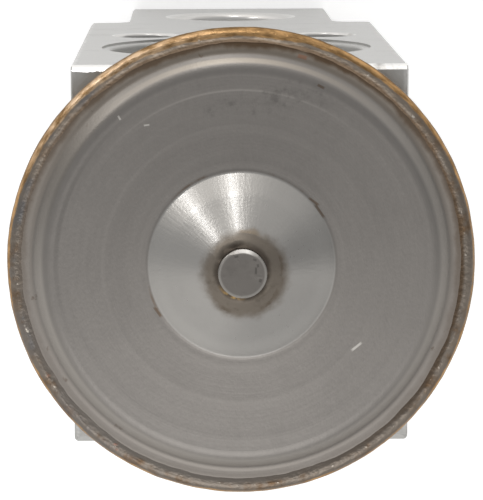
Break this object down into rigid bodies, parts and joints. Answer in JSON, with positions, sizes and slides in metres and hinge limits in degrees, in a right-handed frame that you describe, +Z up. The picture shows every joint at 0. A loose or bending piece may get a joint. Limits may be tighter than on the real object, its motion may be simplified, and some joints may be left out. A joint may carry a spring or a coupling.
{
  "type": "block expansion valve",
  "caption": "Tall T-shaped aluminium block valve with suction and liquid ports, a welded diaphragm head on top and a spring-loaded ball valve inside.",
  "frame": {"origin": "on the valve axis, at the block's flat bottom face", "axes": "+Z up along the valve axis to the diaphragm head, +Y out of the line-side port face (compressor and liquid lines), +X along the block's width"},
  "size_m": [0.0414, 0.0414, 0.0949],
  "materials": {
    "machined_aluminium": "machined, matt",
    "rod_aluminium": "turned",
    "cover_stainless": "pressed, satin, slightly stained",
    "base_stainless": "turned",
    "heat_tinted_weld": "bronze and brown heat tint",
    "plug_steel": "grey, matt",
    "braze_brass": "dull, stained",
    "foil_stainless": "rolled, bright",
    "seat_steel": "turned",
    "spring_steel": "drawn, dull",
    "ball_steel": "polished",
    "screw_brass": "turned",
    "seal_rubber": "black, smooth"
  },
  "bodies": {
    "valve_body": {"valve_block": "machined_aluminium", "seat_ring": "seat_steel", "head_base": "base_stainless", "head_cover": "cover_stainless", "rim_weld": "heat_tinted_weld", "charge_plug": "plug_steel", "plug_solder": "braze_brass", "diaphragm": "foil_stainless", "head_seal": "seal_rubber", "rod_seal": "seal_rubber", "rod_retainer": "spring_steel", "valve_spring": "spring_steel"},
    "valve_train": {"diaphragm_pad": "base_stainless", "sensing_rod": "rod_aluminium", "push_pin": "ball_steel", "valve_ball": "ball_steel", "ball_carrier": "seat_steel", "ball_damper": "spring_steel"},
    "adjuster_seat": {"adjuster_seal": "seal_rubber"},
    "adjuster": {"adjusting_screw": "screw_brass"}
  },
  "joints": [
    {"name": "valve_lift", "type": "slide", "parent": "valve_body", "child": "valve_train", "axis": [0, 0, -1], "range_m": [0, 0.0008], "stiffness_N_per_m": 12000, "springref_m": -0.002, "deforming": ["valve_spring", "diaphragm"]},
    {"name": "adjust_travel", "type": "slide", "parent": "valve_body", "child": "adjuster_seat", "axis": [0, 0, 1], "range_m": [-0.0005, 0.0005], "deforming": ["valve_spring"]},
    {"name": "adjust_turn", "type": "hinge", "parent": "adjuster_seat", "child": "adjuster", "pos_m": [0, 0, 0.004], "axis": [0, 0, 1], "range_deg": [-180, 180]}
  ],
  "couplings": [
    {"joint": "adjust_turn", "follows": "adjust_travel", "rad_per_m": 6283}
  ]
}
